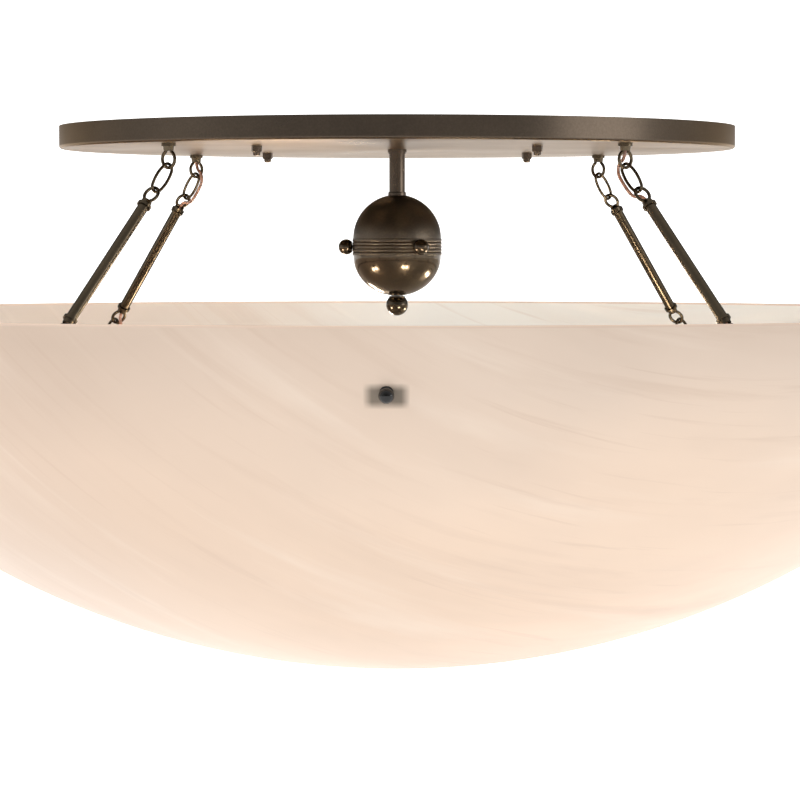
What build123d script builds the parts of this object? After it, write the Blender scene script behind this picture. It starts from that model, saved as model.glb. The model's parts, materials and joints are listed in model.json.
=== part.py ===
from build123d import *
import os
from math import asin, atan, cos, degrees, hypot, pi, radians, sin, sqrt, tan

# A large semi flush ceiling light: a shallow round pan on the ceiling, a short stem with a ball
# under it, and four splayed legs of loops, links and rods that carry a wide bowl on a hoop.
# Millimetres. z = 0 is the ceiling, +Z is up, and -Y is the side that a viewer sees.

os.makedirs("parts", exist_ok=True)

# ---------------------------------------------------------------- clearances
slide_gap = 0.3  # between curved pieces that move past each other
turn_gap = 0.06  # radial, round a screw that turns in its hole
hole_gap = 0.5  # radial, round a stud or nipple in sheet metal
open_gap = 0.9  # at the pivot between each lower link and its eye

# ---------------------------------------------------------------- ceiling pan and its frame
pan_radius = 406.0
pan_depth = 27.0
pan_sheet = 1.5
pan_bend = 3.0
bar_width = 44.0
bar_thick = 6.0
bar_end = 20.0  # from the loop's axis to the end of the bar
hub_radius = 80.0
bolt_circle = 300.0
bolt_hole = 4.5
stud_circle = 230.0
stud_radius = 3.0
stud_chamfer = 0.8
nut_flats = 11.1
nut_height = 7.3
nut_cap_radius = 4.6
nut_cap_height = 4.4
nut_wall = 2.0
nut_chamfer = 0.8
nut_cap_round = 2.7

# ---------------------------------------------------------------- loops, links and rods
wire = 1.95  # radius of the wire of every loop
link_wire = 1.8
loop_width = 19.7  # outside, across a ring
loop_tall = 23.0  # outside, along a ring
loop_end_radius = 7.0  # of the wire's middle, at the ends of a ring
loop_turn = 20.0  # degrees that the rings turn from square to their leg
loop_flange = 8.3
loop_flange_height = 3.5
loop_neck = 6.6
loop_neck_height = 3.3
neck_taper = 8.0
loop_bore = 3.2
nipple = 5.0
nipple_length = 12.0
locknut_flats = 17.0
locknut_height = 5.0
loop_inset = 41.0  # from the pan's edge in to the loops' axis
link_length = 42.0
lower_link_length = 36.0
link_width = 20.4
link_end_radius = 6.4
rod_radius = 6.35
rod_wall = 1.35

# ---------------------------------------------------------------- stem and ball
pipe_radius = 6.85
pipe_bore = 5.0
pipe_nut_flats = 24.0
pipe_nut_height = 7.0
collar_radius = 11.5
collar_height = 3.7
collar_step_radius = 10.4
collar_step = 1.8
stem_radius = 9.6
stem_wall = 1.5
stem_length = 45.6
stem_foot_radius = 11.0
stem_foot_height = 4.2
stem_foot_chamfer = 0.8
ball_radius = 53.2
ball_wall = 1.5
band_height = 20.0
band_proud = 0.8
band_wall = 3.4
band_ribs = 5
rib_groove = 0.9
lower_dome_height = 49.0
knob_radius = 9.4
knob_seat = 7.3  # from the middle of a side knob to its flat
knob_count = 3
knob_start = 57.5
screw_radius = 2.5
screw_length = 6.8
finial_radius = 13.2
finial_drop = 10.8  # from the lowest point of the ball to the middle of the finial
finial_neck_radius = 9.7
finial_bore_end = 4.0  # room left under the end of the pipe
finial_floor = 4.0  # metal left under that room

# ---------------------------------------------------------------- bowl
bowl_radius = 744.0
bowl_rim_z = -222.0
bowl_depth = 427.0
bowl_wall = 6.0
bowl_side_radius = 500.0
rim_flare = 17.5  # degrees that the wall leans out at the rim
rim_round = 2.0

# ---------------------------------------------------------------- hoop in the bowl
hoop_radius = 541.6
hoop_width = 36.0
hoop_height = 12.0
cord_hole_inset = 5.2  # from the hoop's inner edge to the middle of a cord hole
cord_hole = 2.7
cord_hole_depth = 9.0
hoop_drop = 73.8  # from the rim down to the middle of the hoop
pad_drop = 64.0  # from the rim down to the middle of the pads
eye_screw = 4.0
eye_screw_length = 9.0
arm_width = 12.0
arm_thick = 6.0
arm_spread = 30.0  # between the middles of the two bars of an arm
arm_root = 18.0  # that each bar lies over the hoop
arm_turn = -0.8  # degrees, of the four arms and their knobs about Z
pad_width = 43.0
pad_height = 19.0
pad_thick = 5.0
gasket = 1.5
gasket_ease = 0.4
wall_bolt = 3.0
bolt_head_radius = 6.0
bolt_head_height = 4.0
washer_radius = 7.0
wall_knob_radius = 8.0
wall_knob_seat = 6.0  # from the middle of a wall knob to its flat
wall_knob_bore = 8.5  # depth of the blind hole in a wall knob

# ---------------------------------------------------------------- lamps
bracket_count = 4
bracket_start = 22.5
bracket_tube = 5.0
bracket_drop = 34.0
bracket_bend = 14.0
lamp_circle = 425.0
lamp_spacing = 78.0
strap_width = 24.0
strap_thick = 4.0
strap_over = 20.0
strap_z = -350.0
bracket_inset = 6.0  # from the strap's middle out to the bracket's end
holder_radius = 17.0
holder_height = 42.0
holder_bore = 13.6
holder_depth = 30.0
holder_round = 4.2
cap_radius = 13.0
cap_length = 31.0
cap_chamfer = 4.3
globe_radius = 30.0
globe_neck = 14.5
globe_neck_length = 7.2
globe_length = 82.0

# ---------------------------------------------------------------- lamp cord
cord_radius = 2.0

# ---------------------------------------------------------------- worked out from the above
pan_floor = -pan_depth + pan_sheet
loop_circle = pan_radius - loop_inset
loop_height = loop_tall - 2 * wire  # between the wire's middles, top to bottom
loop_reach = loop_flange_height + loop_neck_height + wire + loop_height
loop_low_z = -pan_depth - loop_reach
link_inner = link_length - 2 * link_wire  # between the wire's middles, end to end
lower_link_inner = lower_link_length - 2 * link_wire
hook = wire + link_wire + slide_gap  # between the middles of two hooked wires
open_hook = wire + link_wire + open_gap
hoop_z = bowl_rim_z - hoop_drop
hoop_top = hoop_z + hoop_height / 2
pad_z = bowl_rim_z - pad_drop
cord_hole_x = hoop_radius - hoop_width / 2 + cord_hole_inset
eye_z = hoop_top + loop_reach

leg_out = hoop_radius - loop_circle
leg_down = loop_low_z - eye_z
leg_length = hypot(leg_out, leg_down)
leg_sin = leg_out / leg_length
leg_cos = leg_down / leg_length
# distances along a leg, from the middle of the ceiling loop's lowest wire
upper_link_top = -hook
upper_link_low = upper_link_top + link_inner
rod_loop_top = upper_link_low - hook
rod_top = rod_loop_top + loop_reach
lower_link_low = leg_length + open_hook
lower_link_top = lower_link_low - lower_link_inner
rod_loop_low = lower_link_top + hook
rod_low = rod_loop_low - loop_reach
rod_length = rod_low - rod_top
sway_z = loop_low_z + loop_circle * leg_cos / leg_sin

leg_angles = {"front_right": -45, "back_right": 45, "back_left": 135, "front_left": -135}
# seen from above, the rings of two legs turn one way and those of the other two the other way
ring_turns = {
    "front_right": -loop_turn,
    "back_right": loop_turn,
    "back_left": -loop_turn,
    "front_left": loop_turn,
}
cord_legs = ("back_left", "front_right")
arm_angles = {
    "right": arm_turn,
    "back": 90 + arm_turn,
    "left": 180 + arm_turn,
    "front": 270 + arm_turn,
}
out_axis = Vector(leg_cos, 0, leg_sin)  # square to the leg, outwards and up
leg_axis = Vector(leg_sin, 0, -leg_cos)  # down along the leg
tangent_axis = Vector(0, 1, 0)


def leg_point(along, out=0.0, side=0.0):
    """A point beside the leg that lies over the X axis."""
    start = Vector(loop_circle, 0, loop_low_z)
    return start + leg_axis * along + out_axis * out + tangent_axis * side


def save(shape, name):
    shape.label = name
    export_step(shape, f"parts/{name}.step")


def oval_line(plane, half_width, half_length, end_radius):
    """The middle line of an oval of wire: two close arcs at its ends, two wide arcs at its sides."""
    end_y = half_length - end_radius
    side_radius = (half_width**2 + end_y**2 - end_radius**2) / (2 * (half_width - end_radius))
    side_middle = side_radius - half_width
    turn = degrees(atan(end_y / side_middle))
    with BuildLine(plane) as path:
        CenterArc((0, end_y), end_radius, turn, 180 - 2 * turn)
        CenterArc((side_middle, 0), side_radius, 180 - turn, 2 * turn)
        CenterArc((0, -end_y), end_radius, 180 + turn, 180 - 2 * turn)
        CenterArc((-side_middle, 0), side_radius, -turn, 2 * turn)
    return path.wire()


def turned_tangent(up, turn):
    """The direction across a ring, turned in degrees about the direction that is up for it."""
    return tangent_axis.rotate(Axis((0, 0, 0), up), turn)


def loop_fitting(seat, shank_radius, shank_length, bore):
    """A flanged loop. The seat's z points from its flange to its ring, its x across the ring."""
    ring_middle = (0, 0, loop_reach - loop_height / 2)
    ring_plane = Plane(origin=ring_middle, x_dir=(1, 0, 0), z_dir=(0, -1, 0))
    path = oval_line(ring_plane, loop_width / 2 - wire, loop_height / 2, loop_end_radius)
    ring_inside = loop_reach - loop_height + wire
    with BuildPart() as fitting:
        with BuildSketch(Plane.XY.offset(-shank_length)):
            Circle(shank_radius)
        extrude(amount=shank_length)
        with BuildSketch():
            Circle(loop_flange)
        extrude(amount=loop_flange_height)
        with BuildSketch(Plane.XY.offset(loop_flange_height)):
            Circle(loop_neck)
        extrude(amount=loop_neck_height + wire, taper=neck_taper)
        with BuildSketch(Plane(origin=path @ 0, z_dir=path % 0)):
            Circle(wire)
        sweep(path=path)
        if bore > 0:
            with BuildSketch(Plane.XY.offset(-shank_length)):
                Circle(bore)
            extrude(amount=shank_length + ring_inside + bore / 2, mode=Mode.SUBTRACT)
    return seat.location * fitting.part


def oval_link(top_along, inner):
    """A closed link of the leg over the X axis, flat in the leg's upright plane."""
    middle = leg_point(top_along + inner / 2)
    path = oval_line(
        Plane(origin=middle, x_dir=out_axis, z_dir=out_axis.cross(leg_axis)),
        link_width / 2 - link_wire,
        inner / 2,
        link_end_radius,
    )
    with BuildPart() as link:
        with BuildSketch(Plane(origin=path @ 0, z_dir=path % 0)):
            Circle(link_wire)
        sweep(path=path)
    return link.part


# ---------------------------------------------------------------- ceiling pan
pipe_hole = pipe_radius + hole_gap
with BuildPart() as ceiling_pan:
    with BuildSketch(Plane.XZ):
        with BuildLine():
            outside = FilletPolyline(
                (pipe_hole, -pan_depth), (pan_radius, -pan_depth), (pan_radius, 0), radius=pan_bend
            )
            inside = FilletPolyline(
                (pipe_hole, pan_floor),
                (pan_radius - pan_sheet, pan_floor),
                (pan_radius - pan_sheet, 0),
                radius=pan_bend - pan_sheet,
            )
            Line(outside @ 0, inside @ 0)
            Line(outside @ 1, inside @ 1)
        make_face()
    revolve(axis=Axis.Z)
    with BuildSketch(Plane.XY.offset(-pan_depth)):
        with PolarLocations(stud_circle, 4, start_angle=45):
            Circle(stud_radius + hole_gap)
        with PolarLocations(loop_circle, 4, start_angle=45):
            Circle(nipple + hole_gap)
    extrude(amount=pan_sheet, mode=Mode.SUBTRACT)
save(ceiling_pan.part, "ceiling_pan")

# The frame is a cross of flat bar with a round hub, bolted flat to the ceiling.
with BuildPart() as mounting_frame:
    with BuildSketch(Plane.XY.offset(-bar_thick)):
        for angle in (45, 135):
            with Locations(Rotation(0, 0, angle)):
                SlotOverall(2 * (loop_circle + bar_end), bar_width)
        Circle(hub_radius)
        Circle(pipe_radius, mode=Mode.SUBTRACT)
        with PolarLocations(bolt_circle, 4, start_angle=45):
            Circle(bolt_hole, mode=Mode.SUBTRACT)
        with PolarLocations(loop_circle, 4, start_angle=45):
            Circle(nipple, mode=Mode.SUBTRACT)
    extrude(amount=bar_thick)
save(mounting_frame.part, "mounting_frame")

with BuildPart() as frame_studs:
    with BuildSketch(Plane.XY.offset(-bar_thick)):
        with PolarLocations(stud_circle, 4, start_angle=45):
            Circle(stud_radius)
    extrude(amount=-(pan_depth + nut_height + nut_cap_height - nut_wall - bar_thick))
    chamfer(frame_studs.faces().sort_by(Axis.Z)[:4].edges(), stud_chamfer)
save(frame_studs.part, "frame_studs")

nut_low = -pan_depth - nut_height
nut_end = nut_low - nut_cap_height
with BuildPart() as cap_nut:
    with BuildSketch(Plane.XY.offset(-pan_depth)):
        with Locations((stud_circle, 0)):
            RegularPolygon(nut_flats / 2, 6, major_radius=False)
    extrude(amount=-nut_height)
    chamfer(cap_nut.faces().sort_by(Axis.Z)[0].edges(), nut_chamfer)
    with BuildSketch(Plane.XY.offset(nut_low)):
        with Locations((stud_circle, 0)):
            Circle(nut_cap_radius)
    extrude(amount=-nut_cap_height)
    fillet(cap_nut.faces().sort_by(Axis.Z)[0].edges(), nut_cap_round)
    with BuildSketch(Plane.XY.offset(-pan_depth)):
        with Locations((stud_circle, 0)):
            Circle(stud_radius)
    extrude(amount=nut_end + nut_wall + pan_depth, mode=Mode.SUBTRACT)
with BuildPart() as cap_nuts:
    with PolarLocations(0, 4, start_angle=45):
        add(cap_nut.part)
save(cap_nuts.part, "cap_nuts")

# ---------------------------------------------------------------- ceiling loops
with BuildPart() as ceiling_loops:
    for leg, angle in leg_angles.items():
        across = turned_tangent((0, 0, 1), ring_turns[leg])
        seat = Plane(origin=(loop_circle, 0, -pan_depth), x_dir=across, z_dir=(0, 0, -1))
        ceiling_loop = loop_fitting(seat, nipple, pan_depth - bar_thick / 2, loop_bore)
        add(ceiling_loop.rotate(Axis.Z, angle))
save(ceiling_loops.part, "ceiling_loops")

with BuildPart() as loop_locknuts:
    with BuildSketch(Plane.XY.offset(pan_floor)):
        with PolarLocations(loop_circle, 4, start_angle=45):
            RegularPolygon(locknut_flats / 2, 6, major_radius=False)
            Circle(nipple, mode=Mode.SUBTRACT)
    extrude(amount=locknut_height)
save(loop_locknuts.part, "loop_locknuts")

# ---------------------------------------------------------------- legs
upper_link = oval_link(upper_link_top, link_inner)
lower_link = oval_link(lower_link_top, lower_link_inner)
with BuildPart() as rod_tube:
    with BuildSketch(Plane(origin=leg_point(rod_top), x_dir=tangent_axis, z_dir=leg_axis)):
        Circle(rod_radius)
        Circle(rod_radius - rod_wall, mode=Mode.SUBTRACT)
    extrude(amount=rod_length)
rod_inside = rod_radius - rod_wall
for leg, angle in leg_angles.items():
    across = turned_tangent(-leg_axis, ring_turns[leg])
    top_seat = Plane(origin=leg_point(rod_top), x_dir=across, z_dir=-leg_axis)
    low_seat = Plane(origin=leg_point(rod_low), x_dir=across, z_dir=leg_axis)
    top_loop = loop_fitting(top_seat, rod_inside, nipple_length, loop_bore)
    low_loop = loop_fitting(low_seat, rod_inside, nipple_length, loop_bore)
    save(upper_link.rotate(Axis.Z, angle), f"{leg}_upper_link")
    save(rod_tube.part.rotate(Axis.Z, angle), f"{leg}_rod_tube")
    save(top_loop.rotate(Axis.Z, angle), f"{leg}_rod_top_loop")
    save(low_loop.rotate(Axis.Z, angle), f"{leg}_rod_bottom_loop")
    save(lower_link.rotate(Axis.Z, angle), f"{leg}_lower_link")

# ---------------------------------------------------------------- stem
stem_top = -pan_depth - collar_height - collar_step
stem_low = stem_top - stem_length
ball_top = stem_low - stem_foot_height
with BuildPart() as stem_top_collar:
    with BuildSketch(Plane.XY.offset(-pan_depth)):
        Circle(collar_radius)
    extrude(amount=-collar_height)
    with BuildSketch(Plane.XY.offset(-pan_depth - collar_height)):
        Circle(collar_step_radius)
    extrude(amount=-collar_step)
    with BuildSketch(Plane.XY.offset(-pan_depth)):
        Circle(pipe_hole)
    extrude(amount=-(collar_height + collar_step), mode=Mode.SUBTRACT)
save(stem_top_collar.part, "stem_top_collar")

with BuildPart() as stem_tube:
    with BuildSketch(Plane.XY.offset(stem_top)):
        Circle(stem_radius)
        Circle(stem_radius - stem_wall, mode=Mode.SUBTRACT)
    extrude(amount=-stem_length)
save(stem_tube.part, "stem_tube")

with BuildPart() as stem_foot:
    with BuildSketch(Plane.XY.offset(stem_low)):
        Circle(stem_foot_radius)
        Circle(pipe_hole, mode=Mode.SUBTRACT)
    extrude(amount=-stem_foot_height)
    foot_rim = stem_foot.faces().sort_by(Axis.Z)[-1].edges().sort_by(SortBy.RADIUS)[-1]
    chamfer(foot_rim, stem_foot_chamfer)
save(stem_foot.part, "stem_foot")

# ---------------------------------------------------------------- ball
# Two spun domes meet a reeded band. The upper one is a half ball, flat where the stem's foot
# stands, and the lower one is a little shallower and fuller.
upper_middle = ball_top - sqrt(ball_radius**2 - stem_foot_radius**2)
band_top = upper_middle
band_low = band_top - band_height
ball_low = band_low - lower_dome_height
band_radius = ball_radius + band_proud
with BuildPart() as ball_upper_shell:
    with BuildSketch(Plane.XZ):
        with BuildLine():
            rise = degrees(asin((ball_top - upper_middle) / ball_radius))
            outside = CenterArc((0, upper_middle), ball_radius, 0, rise)
            Line(outside @ 1, (pipe_hole, ball_top))
            Line((pipe_hole, ball_top), (pipe_hole, ball_top - ball_wall))
            inner_radius = ball_radius - ball_wall
            inner_rise = degrees(asin((ball_top - ball_wall - upper_middle) / inner_radius))
            inside = CenterArc((0, upper_middle), inner_radius, 0, inner_rise)
            Line((pipe_hole, ball_top - ball_wall), inside @ 1)
            Line(inside @ 0, outside @ 0)
        make_face()
    revolve(axis=Axis.Z)
save(ball_upper_shell.part, "ball_upper_shell")

with BuildPart() as ball_lower_shell:
    with BuildSketch(Plane.XZ):
        with BuildLine():
            middle = (0, band_low)
            outside = EllipticalCenterArc(
                middle, ball_radius, lower_dome_height, start_angle=-90, arc_size=90
            )
            inside = EllipticalCenterArc(
                middle,
                ball_radius - ball_wall,
                lower_dome_height - ball_wall,
                start_angle=-90,
                arc_size=90,
            )
            Line(outside @ 0, inside @ 0)
            Line(outside @ 1, inside @ 1)
        make_face()
    revolve(axis=Axis.Z)
    with BuildSketch(Plane.XY.offset(ball_low - ball_wall)):
        Circle(pipe_hole)
    extrude(amount=3 * ball_wall, mode=Mode.SUBTRACT)
save(ball_lower_shell.part, "ball_lower_shell")

rib_pitch = band_height / band_ribs
with BuildPart() as ball_band:
    with BuildSketch(Plane.XY.offset(band_low)):
        Circle(band_radius)
        Circle(band_radius - band_wall, mode=Mode.SUBTRACT)
    extrude(amount=band_height)
    with BuildSketch(Plane.XZ):
        for number in range(1, band_ribs):
            with Locations((band_radius, band_low + number * rib_pitch)):
                Circle(rib_groove)
    revolve(axis=Axis.Z, mode=Mode.SUBTRACT)
    for number in range(knob_count):
        turn = radians(knob_start + number * 360 / knob_count)
        side = Vector(cos(turn), sin(turn), 0)
        middle = Vector(0, 0, band_top - band_height / 2)
        with BuildSketch(Plane(origin=middle + side * (band_radius - 2 * band_wall), z_dir=side)):
            Circle(screw_radius + turn_gap)
        extrude(amount=3 * band_wall, mode=Mode.SUBTRACT)
save(ball_band.part, "ball_band")


def ball_knob(radius, seat, shank_radius, shank_length, bore_depth, origin, direction):
    """A round knob with a flat. The origin is on its flat, the direction points out of it."""
    plane = Plane(origin=origin, z_dir=direction)
    with BuildPart() as knob:
        with BuildSketch(Plane(origin=origin, x_dir=plane.x_dir, z_dir=-plane.y_dir)):
            with BuildLine():
                flat = sqrt(radius**2 - seat**2)
                low = degrees(asin(seat / radius))
                rim = CenterArc((0, seat), radius, -low, 90 + low)
                Line(rim @ 1, (0, 0))
                Line((0, 0), (flat, 0))
            make_face()
        revolve(axis=Axis(origin, direction))
        if shank_length > 0:
            with BuildSketch(plane):
                Circle(shank_radius)
            extrude(amount=-shank_length)
        if bore_depth > 0:
            with BuildSketch(plane):
                Circle(shank_radius + turn_gap)
            extrude(amount=bore_depth, mode=Mode.SUBTRACT)
    return knob.part


for number in range(knob_count):
    turn = radians(knob_start + number * 360 / knob_count)
    side = Vector(cos(turn), sin(turn), 0)
    seat_point = Vector(0, 0, band_top - band_height / 2) + side * (band_radius + slide_gap)
    save(
        ball_knob(knob_radius, knob_seat, screw_radius, screw_length, 0, seat_point, side),
        f"ball_knob_{number + 1}",
    )

# The pipe runs from the hub down through the stem and the ball into the finial.
finial_middle = ball_low - finial_drop
finial_top = ball_low - slide_gap
pipe_low = finial_middle - finial_radius + finial_floor + finial_bore_end
with BuildPart() as centre_pipe:
    with BuildSketch():
        Circle(pipe_radius)
        Circle(pipe_bore, mode=Mode.SUBTRACT)
    extrude(amount=pipe_low)
save(centre_pipe.part, "centre_pipe")

with BuildPart() as pipe_locknuts:
    for top in (-bar_thick, pan_floor + pipe_nut_height):
        with BuildSketch(Plane.XY.offset(top)):
            RegularPolygon(pipe_nut_flats / 2, 6, major_radius=False)
            Circle(pipe_radius, mode=Mode.SUBTRACT)
        extrude(amount=-pipe_nut_height)
save(pipe_locknuts.part, "pipe_locknuts")

with BuildPart() as ball_finial:
    with Locations((0, 0, finial_middle)):
        Sphere(finial_radius)
    with BuildSketch(Plane.XY.offset(finial_top)):
        Circle(finial_neck_radius)
    extrude(amount=finial_middle - finial_top)
    with BuildSketch(Plane.XY.offset(finial_top)):
        Circle(2 * finial_radius)
    extrude(amount=2 * finial_radius, mode=Mode.SUBTRACT)
    with BuildSketch(Plane.XY.offset(finial_top)):
        Circle(pipe_radius + turn_gap)
    extrude(amount=pipe_low - finial_bore_end - finial_top, mode=Mode.SUBTRACT)
save(ball_finial.part, "ball_finial")

# ---------------------------------------------------------------- bowl
# The wall is two tangent arcs: a wide crown below and a closer side arc up to the rim.
flare = radians(rim_flare)
bowl_low = bowl_rim_z - bowl_depth
side_x = bowl_radius - bowl_side_radius * cos(flare)
side_z = bowl_rim_z + bowl_side_radius * sin(flare)
side_up = side_z - bowl_low
crown_radius = (side_x**2 + side_up**2 - bowl_side_radius**2) / (2 * (side_up - bowl_side_radius))
crown_z = bowl_low + crown_radius
turn_angle = degrees(atan((crown_z - side_z) / side_x))  # of the line through both middles


def bowl_edge(inset):
    """One face of the wall, from the middle of the crown to the rim."""
    rim_dip = degrees(asin((side_z - bowl_rim_z) / (bowl_side_radius - inset)))
    crown = CenterArc((0, crown_z), crown_radius - inset, -90, 90 - turn_angle)
    side_arc = CenterArc(
        (side_x, side_z), bowl_side_radius - inset, -turn_angle, turn_angle - rim_dip
    )
    return crown @ 0, side_arc @ 1


knob_dip = asin((side_z - pad_z) / (bowl_side_radius - bowl_wall))
wall_axis = Vector(cos(knob_dip), 0, -sin(knob_dip))  # square to the wall at the pads
wall_inside = Vector(side_x, 0, side_z) + wall_axis * (bowl_side_radius - bowl_wall)


def wall_plane(out=0.0):
    """A plane square to the wall's axis over X, out from the wall's inner face."""
    return Plane(origin=wall_inside + wall_axis * out, x_dir=(0, 1, 0), z_dir=wall_axis)


with BuildPart() as bowl:
    with BuildSketch(Plane.XZ):
        with BuildLine():
            outer_low, outer_rim = bowl_edge(0)
            inner_low, inner_rim = bowl_edge(bowl_wall)
            Line(outer_low, inner_low)
            Line(outer_rim, inner_rim)
        make_face()
    revolve(axis=Axis.Z)
    fillet(bowl.edges().group_by(Axis.Z)[-1], rim_round)
    for angle in arm_angles.values():
        origin = wall_plane(-bowl_wall).origin.rotate(Axis.Z, angle)
        direction = wall_axis.rotate(Axis.Z, angle)
        with BuildSketch(Plane(origin=origin, z_dir=direction)):
            Circle(wall_bolt + hole_gap)
        extrude(amount=3 * bowl_wall, mode=Mode.SUBTRACT)
save(bowl.part, "bowl")

# ---------------------------------------------------------------- hoop, arms and pads
# Two flat bars lie on the hoop under each pad and carry it.
pad_back = -(gasket + gasket_ease + pad_thick)
with BuildPart() as wall_arm:
    with BuildSketch(wall_plane(pad_back)):
        Rectangle(pad_width, pad_height)
    extrude(amount=pad_thick)
    arm_start = hoop_radius + hoop_width / 2 - arm_root
    arm_middle = (arm_start, 0, hoop_top + arm_thick / 2)
    with BuildSketch(Plane(origin=arm_middle, x_dir=(0, 1, 0), z_dir=(1, 0, 0))):
        with GridLocations(arm_spread, 0, 2, 1):
            Rectangle(arm_width, arm_thick)
    extrude(until=Until.NEXT)
with BuildPart() as bowl_hoop:
    with BuildSketch(Plane.XY.offset(hoop_z - hoop_height / 2)):
        Circle(hoop_radius + hoop_width / 2)
        Circle(hoop_radius - hoop_width / 2, mode=Mode.SUBTRACT)
    extrude(amount=hoop_height)
    with PolarLocations(0, 4, start_angle=arm_turn):
        add(wall_arm.part)
    for angle in arm_angles.values():
        origin = wall_plane(pad_back).origin.rotate(Axis.Z, angle)
        with BuildSketch(Plane(origin=origin, z_dir=wall_axis.rotate(Axis.Z, angle))):
            Circle(wall_bolt)
        extrude(amount=pad_thick, mode=Mode.SUBTRACT)
    with BuildSketch(Plane.XY.offset(hoop_top)):
        with PolarLocations(hoop_radius, 4, start_angle=45):
            Circle(eye_screw)
    extrude(amount=-eye_screw_length, mode=Mode.SUBTRACT)
    with BuildSketch(Plane.XY.offset(hoop_top)):
        with PolarLocations(cord_hole_x, 2, start_angle=135):
            Circle(cord_hole)
    extrude(amount=-cord_hole_depth, mode=Mode.SUBTRACT)
save(bowl_hoop.part, "bowl_hoop")

hoop_eye = loop_fitting(
    Plane(origin=(hoop_radius, 0, hoop_top), x_dir=(0, 1, 0), z_dir=(0, 0, 1)),
    eye_screw,
    eye_screw_length,
    0,
)
with BuildPart() as hoop_eyes:
    with PolarLocations(0, 4, start_angle=45):
        add(hoop_eye)
save(hoop_eyes.part, "hoop_eyes")

washer_out = bowl_wall + gasket_ease
knob_out = washer_out + gasket + slide_gap
with BuildPart() as wall_bolt_piece:
    with BuildSketch(wall_plane(pad_back)):
        RegularPolygon(bolt_head_radius, 6)
    extrude(amount=-bolt_head_height)
    with BuildSketch(wall_plane(pad_back)):
        Circle(wall_bolt)
    extrude(amount=knob_out + wall_knob_bore - slide_gap - pad_back)
with BuildPart() as inner_gasket_piece:
    with BuildSketch(wall_plane(pad_back + pad_thick)):
        Rectangle(pad_width, pad_height)
        Circle(wall_bolt, mode=Mode.SUBTRACT)
    extrude(amount=gasket)
with BuildPart() as outer_gasket_piece:
    with BuildSketch(wall_plane(washer_out)):
        Circle(washer_radius)
        Circle(wall_bolt, mode=Mode.SUBTRACT)
    extrude(amount=gasket)
with BuildPart() as wall_bolts:
    with PolarLocations(0, 4, start_angle=arm_turn):
        add(wall_bolt_piece.part)
with BuildPart() as inner_gaskets:
    with PolarLocations(0, 4, start_angle=arm_turn):
        add(inner_gasket_piece.part)
with BuildPart() as outer_gaskets:
    with PolarLocations(0, 4, start_angle=arm_turn):
        add(outer_gasket_piece.part)
save(wall_bolts.part, "wall_bolts")
save(inner_gaskets.part, "inner_gaskets")
save(outer_gaskets.part, "outer_gaskets")
wall_knob = ball_knob(
    wall_knob_radius,
    wall_knob_seat,
    wall_bolt,
    0,
    wall_knob_bore,
    wall_plane(knob_out).origin,
    wall_axis,
)
for name, angle in arm_angles.items():
    save(wall_knob.rotate(Axis.Z, angle), f"wall_knob_{name}")

# ---------------------------------------------------------------- lamps
hoop_bottom = hoop_z - hoop_height / 2
with BuildPart() as lamp_bracket:
    with BuildLine(Plane.XZ) as bracket_path:
        FilletPolyline(
            (hoop_radius, hoop_bottom),
            (hoop_radius, hoop_bottom - bracket_drop),
            (lamp_circle + bracket_inset, strap_z + bracket_tube),
            radius=bracket_bend,
        )
    with BuildSketch(Plane.XY.offset(hoop_bottom)):
        with Locations((hoop_radius, 0)):
            Circle(bracket_tube)
    sweep()
    with BuildSketch(Plane.XY.offset(strap_z)):
        with Locations((lamp_circle, 0)):
            SlotOverall(lamp_spacing + 2 * strap_over, strap_width, rotation=90)
    extrude(amount=strap_thick)
# The two lamps of a bracket hang side by side under its strap, in thin-walled lampholders.
lamp_places = [Vector(lamp_circle, side * lamp_spacing / 2, 0) for side in (-1, 1)]
holder_low = strap_z - holder_height
cap_top = holder_low + holder_depth - slide_gap
cap_low = cap_top - cap_length
with BuildPart() as holder_pair:
    with BuildSketch(Plane.XY.offset(strap_z)):
        with Locations(*lamp_places):
            Circle(holder_radius)
    extrude(amount=-holder_height)
    fillet(holder_pair.edges().group_by(Axis.Z)[-1], holder_round)
    with BuildSketch(Plane.XY.offset(holder_low)):
        with Locations(*lamp_places):
            Circle(holder_bore)
    extrude(amount=holder_depth, mode=Mode.SUBTRACT)
with BuildPart() as cap_pair:
    with BuildSketch(Plane.XY.offset(cap_top)):
        with Locations(*lamp_places):
            Circle(cap_radius)
    extrude(amount=-cap_length)
    chamfer(cap_pair.edges().group_by(Axis.Z)[-1], cap_chamfer)
with BuildPart() as globe:
    with BuildSketch(Plane.XZ):
        with BuildLine():
            ball_z = cap_low - globe_length + globe_radius
            neck = Line((globe_neck, cap_low), (globe_neck, cap_low - globe_neck_length))
            bulge = CenterArc((0, ball_z), globe_radius, 0, -90)
            Spline(neck @ 1, bulge @ 0, tangents=((0, -1), (0, -1)))
            Line(bulge @ 1, (0, cap_low))
            Line((0, cap_low), neck @ 0)
        make_face()
    revolve(axis=Axis.Z)
with BuildPart() as globe_pair:
    with Locations(*lamp_places):
        add(globe.part)
for name, piece in (
    ("lamp_brackets", lamp_bracket),
    ("lampholders", holder_pair),
    ("lamp_caps", cap_pair),
    ("lamp_globes", globe_pair),
):
    with BuildPart() as group:
        with PolarLocations(0, bracket_count, start_angle=bracket_start):
            add(piece.part)
    save(group.part, name)

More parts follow.
